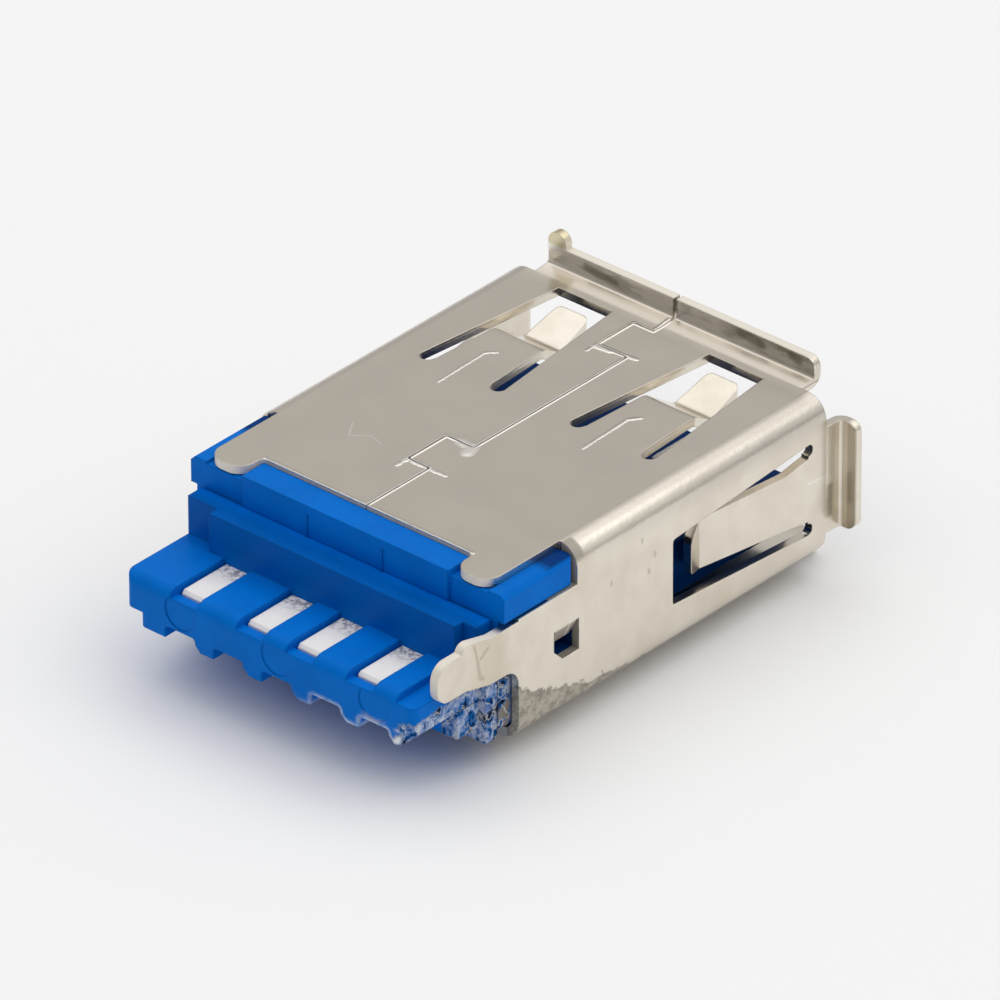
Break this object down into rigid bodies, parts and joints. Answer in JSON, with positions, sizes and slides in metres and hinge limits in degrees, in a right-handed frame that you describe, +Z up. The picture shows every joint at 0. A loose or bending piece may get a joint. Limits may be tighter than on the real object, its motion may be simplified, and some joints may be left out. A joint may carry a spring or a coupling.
{
  "type": "usb-a socket",
  "caption": "Cable socket for a flat rectangular plug: folded sheet shell with sprung windows and flared mouth, moulded tongue, contact strips and rear solder paddle.",
  "frame": {"origin": "centre of the object's outline in plan, at the level of the lower mouth flange", "axes": "+Y from the mouth towards the solder end, +Z up with the tongue's contacts facing up, +X to the right seen at the mouth"},
  "size_m": [0.0144, 0.0198, 0.0077],
  "materials": {
    "plated_shell": "satin nickel plating, faint rolling grain",
    "blue_moulding": "fine satin moulded surface",
    "tinned_contact": "bright tin plating over copper alloy"
  },
  "bodies": {
    "root": {"shell": "plated_shell", "insulator": "blue_moulding", "solder_block": "blue_moulding", "contact_vbus": "tinned_contact", "contact_data_minus": "tinned_contact", "contact_data_plus": "tinned_contact", "contact_ground": "tinned_contact", "contact_receive_minus": "tinned_contact", "contact_receive_plus": "tinned_contact", "contact_drain": "tinned_contact", "contact_transmit_minus": "tinned_contact", "contact_transmit_plus": "tinned_contact"}
  },
  "joints": []
}
